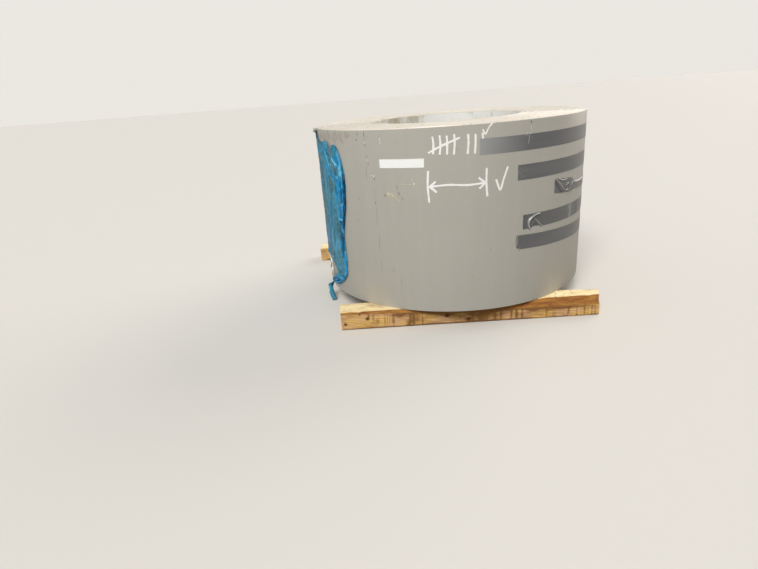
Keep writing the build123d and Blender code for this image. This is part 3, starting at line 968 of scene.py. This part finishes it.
film_rolls = [
    gathered("film_hem_roll", [
        (-50.4, 547, 2), (-47.8, 530, 3.2), (-45.9, 507, 3.4), (-45.0, 481, 3.6),
        (-44.5, 451, 3.4), (-44.5, 411, 3.8), (-44.9, 365, 3.4), (-45.8, 321, 3.2),
        (-47.4, 272, 3.0), (-48.6, 220, 3.2), (-48.4, 185, 3.0), (-47.9, 144, 2.8),
        (-48.2, 107, 3.2), (-49.0, 80, 3.6), (-52.6, 52, 4.2), (-57.6, 30, 3.6),
        (-63.0, 16, 2.4),
    ], (1.0, 5.0, 6.5, 6.0, 7.0, 5.5, 5.0, 4.5, 4.5, 6.0, 7.5, 2.5), 1.0, film_plastic),
    gathered("film_second_roll", [
        (-60.1, 555, 1.5), (-58.1, 538, 2.5), (-57.6, 521, 2.6), (-55.7, 495, 2.6),
        (-53.8, 472, 2.6), (-51.6, 453, 2.8), (-49.4, 437, 3.0), (-47.7, 411, 3.0),
        (-47.0, 360, 2.6), (-48.4, 300, 2.0),
    ], (1.2, 6.0, 6.0, 5.0, 4.5, 4.5, 5.0, 4.0, 3.0, 1.0), 2.0, film_plastic, 0.7),
    gathered("film_third_roll", [
        (-52.6, 506, 1.5), (-50.3, 492, 2.8), (-48.3, 480, 3.4), (-46.6, 470, 3.0),
    ], (1.0, 3.5, 4.0, 1.5), 3.0, film_plastic, 0.7),
    gathered("film_long_fold", [
        (-57.7, 400, 1.0), (-58.2, 330, 1.6), (-60.1, 251, 1.8), (-64.0, 162, 1.4),
        (-64.6, 120, 1.0),
    ], (0.6, 2.0, 2.6, 2.2, 0.6), 4.0, film_plastic, 0.8),
    gathered("film_foot_bunch", [
        (-50.8, 64, 2.5), (-54.5, 54, 4.0), (-59, 42, 4.0), (-63, 26, 3.0),
    ], (2.0, 7.0, 7.0, 2.0), 5.0, film_plastic, 1.0),
    ribbon("film_strand", [
        (-67.5, 4, 1.5), (-69.2, -9, 8), (-69.9, -20, 14), (-68.2, -33, 16), (-65.6, -45, 16),
        (-63.2, -58, 15),
    ], (4, 12, 22, 23, 22, 21, 19), 6.0, film_plastic, 0.4, 62, (0.5, 0.15, -0.15)),
    ribbon("clear_film_tail", [
        (-71.5, 112, 3), (-67.6, 104, 4), (-65.4, 92, 4), (-64.9, 76, 4), (-64.2, 60, 4),
        (-64.6, 42, 3), (-67.0, 22, 2),
    ], (5, 14, 20, 22, 20, 14, 4), 7.0, clear_film, 0.0, -22, (0.08, 0.04, 0.9)),
    gathered("clear_film_corner", [
        (-66, 593, 1.5), (-70, 593, 4), (-74, 591, 6), (-78, 587, 6), (-83, 583, 2),
    ], (1.5, 5, 8, 8, 1.5), 8.0, clear_film, 0.0),
]


# ---------------------------------------------------------------- marks on the wall
def strokes(name, lines, width, material):
    """Lines drawn by hand on the wall, each as (millimetres along, above the lower end)."""
    verts, edges = [], []
    for line in lines:
        first = len(verts)
        verts += [(x * MM, 0.0, height(h)) for x, h in line]
        edges += [(k, k + 1) for k in range(first, len(verts) - 1)]
    drawn = strokes_drawn, {"Width": width * MM, "Thickness": 0.25 * MM}
    new_piece(name, new_mesh(name, verts, [], edges), [drawn, wrap(material)], "painted_steel")


# Tally strokes, a tick and a two-headed arrow, as workers draw them on stock
strokes("marker_tally", [
    [(-44, 571), (-41, 548), (-43, 519)], [(-22, 573), (-20, 545), (-23, 517)],
    [(-1, 571), (0, 548), (-1, 516)], [(21, 574), (22, 546), (19, 515)],
    [(-58, 523), (-20, 541), (38, 563)], [(62, 571), (63, 547), (60, 514)],
    [(84, 570), (84, 545), (82, 513)], [(105, 572), (107, 544), (104, 516)],
], 6.2, marker_paint)
strokes("marker_arrow", [
    [(-60, 470), (-63, 425), (-60, 372)],
    [(-57, 421), (0, 425), (60, 421), (112, 424)],
    [(-38, 437), (-46, 430), (-57, 421), (-46, 413), (-36, 403)],
    [(93, 441), (102, 433), (112, 424), (103, 414), (95, 407)],
    [(118, 468), (117, 424), (120, 381)],
    [(148, 431), (157, 405), (163, 398), (172, 428), (186, 466)],
], 6.2, marker_paint)
tick = [(106, 581), (111, 570), (115, 568), (124, 585), (135, 597)]
strokes("marker_tick", [tick], 5.0, marker_paint)
# Grease that the lowest tape's glue has gathered round its loose end
strokes("tape_residue", [
    [(227, 243), (222, 240), (220, 230), (220, 212), (222, 203), (228, 196), (234, 193)],
    [(231, 196), (232, 189)],
], 2.2, gathered_grease)
strokes("tape_tail", [[(230, 200), (236, 197)]], 2.4, chipped_paint)


def blots(name, places, material, seed):
    """Small ragged spots on the wall, as (angle, height, width, tall, lean in degrees)."""
    verts, faces = [], []
    around = 14
    for number, (angle, above, wide, tall, lean) in enumerate(places):
        c, s = cos(radians(lean)), sin(radians(lean))
        first = len(verts)
        for out, share in ((0.15, 1.0), (0.4, 0.9)):
            for a in (2 * pi * j / around for j in range(around)):
                r = share * (0.75 + 0.6 * noise((cos(a) * 1.5 + number, sin(a) * 1.5, seed)))
                x, z = r * wide / 2 * cos(a), r * tall / 2 * sin(a)
                verts.append((
                    arc(angle) + (x * c + z * s) * MM, -out * MM, height(above + z * c - x * s)
                ))
        faces += tube_faces(2, around, first)
        faces.append(tuple(range(first + around, first + 2 * around)))
        faces.append(tuple(range(first + around - 1, first - 1, -1)))
    new_piece(name, new_mesh(name, verts, faces), [wrap(material)], "painted_steel")


blots("dark_dings", [
    (-31.1, 586, 3, 20, 8), (-34.3, 586, 4, 13, 0), (-35.0, 569, 7, 7, 0),
    (-31.0, 552, 6, 6, 0), (-30.6, 517, 4, 9, 0), (-30.1, 494, 4, 11, 10),
    (-27.8, 446, 4, 13, 20), (-28.1, 367, 4, 10, 0), (-36.5, 376, 4, 9, 0),
    (-47.5, 586, 4, 22, 0), (-18.6, 420, 2.5, 18, 0), (-18.0, 402, 5, 17, -25),
    (-16.6, 385, 3, 16, -30), (-23.6, 394, 6, 10, 0), (30.0, 590, 9, 9, 0),
    (-43.1, 560, 3, 12, 0), (-53.6, 590, 3, 18, 0), (-38.0, 300, 2.5, 9, 0),
    (-22.0, 140, 2.0, 16, 0), (8.0, 120, 2.0, 12, 0), (15.0, 210, 2.0, 14, 0),
], dirt_scuff, 2.0)
blots("fine_scratches", [
    (-28.2, 398, 1.6, 46, 0), (-27.9, 330, 1.8, 70, 1), (-27.6, 235, 1.8, 95, 1),
    (-27.4, 150, 1.6, 60, 1), (-31.3, 470, 1.4, 60, 2), (-19.0, 100, 1.6, 30, 0),
    (-31.0, 575, 1.6, 40, 1), (-53.4, 582, 2.5, 34, 0),
], fine_scratch, 3.0)
blots("pale_chips", [
    (-24.3, 569, 5, 13, 0), (-24.2, 558, 7, 6, 0), (-30.5, 505, 6, 7, 0),
    (-29.2, 457, 6, 6, 0), (-27.9, 455, 7, 8, 0), (-31.1, 560, 6, 6, 0),
    (-12.0, 431, 7, 11, 0), (30.1, 572, 2.5, 20, 0), (29.9, 556, 3, 12, 0),
    (28.4, 558, 2.5, 9, 0), (26.1, 195, 9, 5, 20),
], chipped_paint, 6.0)
blots("dusty_smears", [
    (-62.5, 577, 34, 32, 0), (-58.2, 575, 42, 40, 0), (-53.4, 577, 44, 38, 0),
    (-48.6, 574, 44, 46, 0), (-44.0, 579, 40, 36, 0), (-40.4, 584, 34, 26, 0),
], smeared_dust, 4.0)
blots("rubbed_spots", [
    (-22.4, 398, 8, 22, -10), (-21.5, 396, 7, 24, -10), (-20.6, 395, 7, 22, -12),
    (-19.8, 392, 6, 20, -15), (-18.9, 383, 5, 18, -25), (-17.9, 378, 4, 14, -30),
    (-15.9, 430, 16, 5, 0), (-13.9, 429, 18, 5, 0), (-12.7, 441, 4, 22, 0),
], primer_scuff, 9.0)

# ---------------------------------------------------------------- timbers
timber_turn = radians(6.4)
timber_length, timber_width, timber_thickness = 904 * MM, 88.9 * MM, 63.5 * MM
timber_corner = 3.5 * MM
log_radius = 160 * MM
ring_count, section_step = 340, 0.004
# How far the log's round passes inside the upper front corner, from left to right
wane_bite = np.polyfit((-482, 0, 482), (2.5, 12.0, 18.0), 2)
# The back corner's taper at the right end: how long, how low and how far in
taper_long, taper_low, taper_in = 130 * MM, 6 * MM, 13 * MM


def log_axis(x):
    """Where the axis of the front timber's slightly bowed log runs, across and up at a
    place along it."""
    reach = log_radius + np.polyval(wane_bite, x / MM) * MM
    slope = radians(40)
    return -timber_width / 2 + sin(slope) * reach, timber_thickness - cos(slope) * reach


def timber_section():
    """Points round a timber's section, with rounded corners, from its lower front one."""
    w, t, corner = timber_width / 2, timber_thickness, timber_corner
    corners = ((-w, 0, 225), (-w, t, 135), (w, t, 45), (w, 0, -45))
    section = []
    for index, (cy, cz, middle) in enumerate(corners):
        centre = Vector((cy - copysign(corner, cy), cz + corner if cz == 0 else cz - corner))
        for turn in (45, 22.5, 0, -22.5, -45):
            a = radians(middle + turn)
            section.append((centre.x + corner * cos(a), centre.y + corner * sin(a)))
        ny, nz, _ = corners[(index + 1) % 4]
        side = Vector((ny - cy, nz - cz))
        count = int(side.length / section_step)
        start = Vector((centre.x + corner * cos(a), centre.y + corner * sin(a)))
        run = side.normalized() * (side.length - 2 * corner)
        section += [tuple(start + run * k / count) for k in range(1, count)]
    return np.array(section)


def timber(name, node_name, reach, shift, skews, waned, knots, dirt_and_shadow_patches, pith, seed):
    """A rough-sawn timber. reach and shift place its middle from the coil's axis, and skews
    are how far its ends are off square, in degrees. A waned one is cut from the bowed log and
    tapers off at its upper back corner. Knots are (along, around, radius) on its faces, and the
    darker patches after them (along, around, long, high, strength), all in millimetres, are
    dirt and painted shadow, the painted shadow lying under the coil's rim and along the lower
    edge. Around runs up the front face, then back over the top. Its top is painted lighter,
    partly bleached and partly a painted light from above."""
    half_length, w, t = timber_length / 2, timber_width / 2, timber_thickness
    section = timber_section()
    ring = len(section)
    outward = section - np.array([0, t / 2])
    outward /= np.linalg.norm(outward, axis=1)[:, None]
    steps = np.linalg.norm(section - np.roll(section, 1, axis=0), axis=1)
    steps[0] = 0
    around = np.cumsum(steps)
    taper = Vector((half_length - taper_long, w, t))
    slope = (Vector((half_length, w - taper_in, t)) - taper).cross(
        Vector((half_length, w, t - taper_low)) - taper
    )
    slope *= copysign(1, slope.z)
    along = np.linspace(-half_length, half_length, ring_count)
    verts, looks = [], []
    for x in along:
        for (y, z), out, girth in zip(section, outward, around):
            knot_share = dirt_and_painted_shadow = 0.0
            for k_along, k_around, k_radius in knots:
                off = hypot((x - k_along * MM) * 0.8, girth - k_around * MM)
                knot_share = max(knot_share, exp(-((off / (k_radius * MM)) ** 4)))
            for d_along, d_around, long, high, strength in dirt_and_shadow_patches:
                off = hypot((x / MM - d_along) / long, (girth / MM - d_around) / high)
                dirt_and_painted_shadow += strength * exp(-(off**2))
            rough = noise((x * 9 + seed, y * 60, z * 60)) * 0.5 + 0.5
            saw = noise((x * 160, z * 12 + y * 12, seed)) * 0.5 + 0.5
            dip = 0.5 * MM * rough + 0.3 * MM * saw * (abs(out[0]) > 0.5)
            p = Vector((x, y - out[0] * dip, z - out[1] * dip))
            bark = 0.0
            if waned:
                axis_y, axis_z = log_axis(x)
                away = hypot(p.y - axis_y, p.z - axis_z)
                lumps = 1.6 * MM * noise((x * 30, y * 45, z * 45 + seed))
                over = away - log_radius - min(0.0, lumps)
                if over > 0:
                    p.y += (axis_y - p.y) * over / away
                    p.z += (axis_z - p.z) * over / away
                bark = (away - log_radius + 1.0 * MM + lumps) / (1.5 * MM)
                bark = min(1.0, max(0.0, bark))
                p.z -= max(0.0, slope.dot(p - taper) / slope.z)
            skew = tan(radians(skews[0] if x < 0 else skews[1])) * y * (-1 if x < 0 else 1)
            p.x += skew * min(1.0, abs(x) / half_length) ** 6
            verts.append(p)
            # The top is painted lighter, partly bleached and partly a painted light from above
            bleached_and_lit = 1.0 if out[1] > 0.5 and z > t - 0.6 * timber_corner else 0.0
            looks.append((knot_share, bark, bleached_and_lit * (1 - bark), dirt_and_painted_shadow))
    faces = tube_faces(len(along), ring)
    # Each end is closed by smaller and smaller rings, a little rough
    for end, first in ((-1, 0), (1, (len(along) - 1) * ring)):
        rim = range(first, first + ring)
        loop = list(rim)
        middle = sum((verts[i] for i in loop), Vector()) / ring
        for share in (0.97, 0.75, 0.5, 0.25):
            new = []
            for i in rim:
                p = middle.lerp(verts[i], share)
                p.x -= end * 0.6 * MM * (noise(p * 90) * 0.5 + 0.5)
                new.append(len(verts))
                verts.append(p)
                looks.append((0.0, 0.0, 0.35, 0.4 * (noise(p * 40) + 0.4)))
            for j in range(ring):
                k = (j + 1) % ring
                quad = (loop[j], loop[k], new[k], new[j])
                faces.append(quad if end > 0 else quad[::-1])
            loop = new
        faces.append(loop if end > 0 else loop[::-1])
    shown = dict(zip(("knot", "bark", "bleached_and_lit", "dirt_and_painted_shadow"), zip(*looks)))
    mesh = new_mesh(name, verts, faces, **shown)
    place = (
        Matrix.Translation((axis.x, axis.y, 0)) @ Matrix.Rotation(timber_turn, 4, "Z")
        @ Matrix.Translation((shift * MM, reach * MM, 0))
    )
    mesh.transform(place)
    centre = place @ Vector((0, 0, t / 2))
    mesh.materials.append(sawn_softwood(name + "_softwood", timber_turn, centre, pith, seed))
    new_piece(name, mesh, [], "timber", node_name, sharp=35)


timber(
    "timber_front_sawn", "timber_front", -418, 13, (5.6, 15.0), True,
    [(-437, 23, 5.5), (-383, 58, 3.5), (-356, 40, 6.5), (-5, 16, 6.0), (-80, 34, 7.0)],
    # Dirt, and painted shadow under the coil's rim and along the lower edge
    [
        (-352, 50, 5, 10, 1.0), (-336, 42, 6, 15, 0.9), (-321, 32, 7, 15, 0.75),
        (-296, 30, 2.5, 26, 0.8), (-287, 30, 2, 26, 0.7), (-279, 28, 2, 24, 0.6),
        (-266, 26, 5, 26, 0.85), (-240, 48, 16, 9, 0.85), (-214, 12, 8, 10, 0.9),
        (-207, 30, 4, 30, 0.9), (-196, 24, 5, 34, 1.05), (-182, 30, 9, 16, 0.6),
        (-165, 20, 2.5, 20, 0.8), (-108, 46, 50, 6, 0.8), (-76, 40, 28, 5, 1.1),
        (-30, 50, 60, 6, 1.2), (-9, 14, 14, 6, 0.9), (8, 20, 4, 20, 0.8), (36, 22, 5, 24, 0.8),
        (47, 20, 3, 24, 0.7), (56, 22, 3, 20, 0.6), (85, 22, 5, 20, 0.6), (106, 22, 4, 24, 0.7),
        (20, 34, 160, 28, 0.75), (-40, 52, 200, 10, 1.2), (140, 52, 120, 12, 1.1),
        (141, 22, 4, 26, 0.8), (159, 24, 5, 28, 0.95), (178, 26, 4, 26, 0.7),
        (215, 40, 26, 12, 1.0), (252, 42, 30, 10, 0.8), (262, 20, 3, 20, 0.6),
        (310, 40, 44, 7, 1.0), (340, 26, 3, 22, 0.6), (385, 38, 60, 6, 0.8),
        (368, 14, 3, 22, 0.9), (383, 15, 2, 20, 0.6), (396, 18, 4, 24, 0.9),
        (409, 16, 2, 18, 0.6), (424, 18, 3, 26, 0.9), (436, 18, 4, 18, 0.8),
        (-20, 2, 430, 5, 1.3), (10, 60, 230, 9, 1.0), (-340, 1, 120, 4, 1.2),
    ],
    (0, 0.02, 0.055), 3.0,
)
timber(
    "timber_rear_sawn", "timber_rear", 400, -148.5, (0.0, 0.0), False,
    [(-180, 40, 6.0), (260, 20, 6.0)],
    [
        (-100, 30, 60, 14, 0.6), (40, 45, 80, 10, 0.6), (220, 20, 50, 12, 0.5),
        (-434, 50, 14, 8, 0.5), (-425, 28, 6, 8, 0.5), (-420, 6, 12, 7, 0.9),
        (-330, 12, 30, 8, 0.5),
    ],
    (0, -0.03, 0.07), 8.0,
)

# ---------------------------------------------------------------- stage, light and camera
# The floor shows pale to the camera, and throws back as little light as concrete does
floor_material, add = new_material("studio_floor")
to_camera = add("LightPath").outputs["Is Camera Ray"]
shaded(add, "#aaa8a3", ((to_camera, "#d8d6d2"),), {"Roughness": 0.85, "Specular IOR Level": 0.2})
floor_half, floor_drop = 60.0, 0.5 * MM
floor_mesh = grid_mesh("floor", np.array([
    [(x, y, -floor_drop) for x in (-floor_half, floor_half)] for y in (-floor_half, floor_half)
]))
floor_mesh.materials.append(floor_material)
floor = bpy.data.objects.new("studio_floor", floor_mesh)
scene.collection.objects.link(floor)

# A studio that is darker low on the right and brighter behind on the right, as light falls
# in the photo, with a pale backdrop that only the camera sees
scene.world, add = new_material("studio", bpy.data.worlds.new("studio"))
way = add("TexCoord").outputs["Generated"]
studio_light = add("Math", {
    place: add("MapRange", {
        0: add("VectorMath", {0: way, 1: Vector(towards).normalized()}, "DOT_PRODUCT"),
        1: start, 2: full, 3: least, 4: most,
    }, interpolation_type="SMOOTHSTEP")
    for place, (towards, start, full, least, most) in enumerate((
        ((0.95, -0.26, 0.1), 0.62, 0.95, 0.42, 0.02), ((0.62, 0.76, 0.2), 0.78, 0.98, 0.0, 0.75),
    ))
})
add("OutputWorld", {0: add("MixShader", {
    0: add("LightPath").outputs["Is Camera Ray"],
    1: add("Background", {"Color": "#ffffff", "Strength": studio_light}),
    2: add("Background", {"Color": "#ebe7e1", "Strength": 1.0}),
})})

# Soft suns that look at the middle: how far off, how wide in degrees, and how strong
for name, place, size, power, tint in (
    ("overhead", (-0.36, -1.64, 1.9), 28, 2.45, "#fffcf6"),
    ("side_fill", (2.2, 2.1, 1.2), 50, 1.3, "#fff0e0"),
):
    light = bpy.data.lights.new(name, "SUN")
    light.angle, light.energy, light.color = radians(size), power, colour(tint)[:3]
    lamp = bpy.data.objects.new(name, light)
    lamp.location = place
    lamp.rotation_euler = (-Vector(place)).to_track_quat("-Z", "Y").to_euler()
    scene.collection.objects.link(lamp)

# The camera, fitted to the photo: its focal length in pixels of the 758 by 569, its place
# before the coil's axis and above the coil's lower end, and its turns
photo_width, focal_pixels, sensor = 758, 507.78, 36.0
camera_away, camera_above = 2.0786, 0.7088
yaw, pitch, roll = -0.15003, 0.36302, 0.07836
camera_data = bpy.data.cameras.new("camera")
camera_data.sensor_width = sensor
camera_data.lens = sensor * focal_pixels / photo_width
forward = Vector((sin(yaw) * cos(pitch), cos(yaw) * cos(pitch), -sin(pitch)))
level = Vector((cos(yaw), -sin(yaw), 0.0))
drop = forward.cross(level)
right = cos(roll) * level + sin(roll) * drop
down = -sin(roll) * level + cos(roll) * drop
camera = bpy.data.objects.new("camera", camera_data)
camera.matrix_world = Matrix.Translation(
    (axis.x, axis.y - camera_away, coil_bottom + camera_above)
) @ Matrix((right, -down, -forward)).transposed().to_4x4()
scene.collection.objects.link(camera)
scene.camera = camera
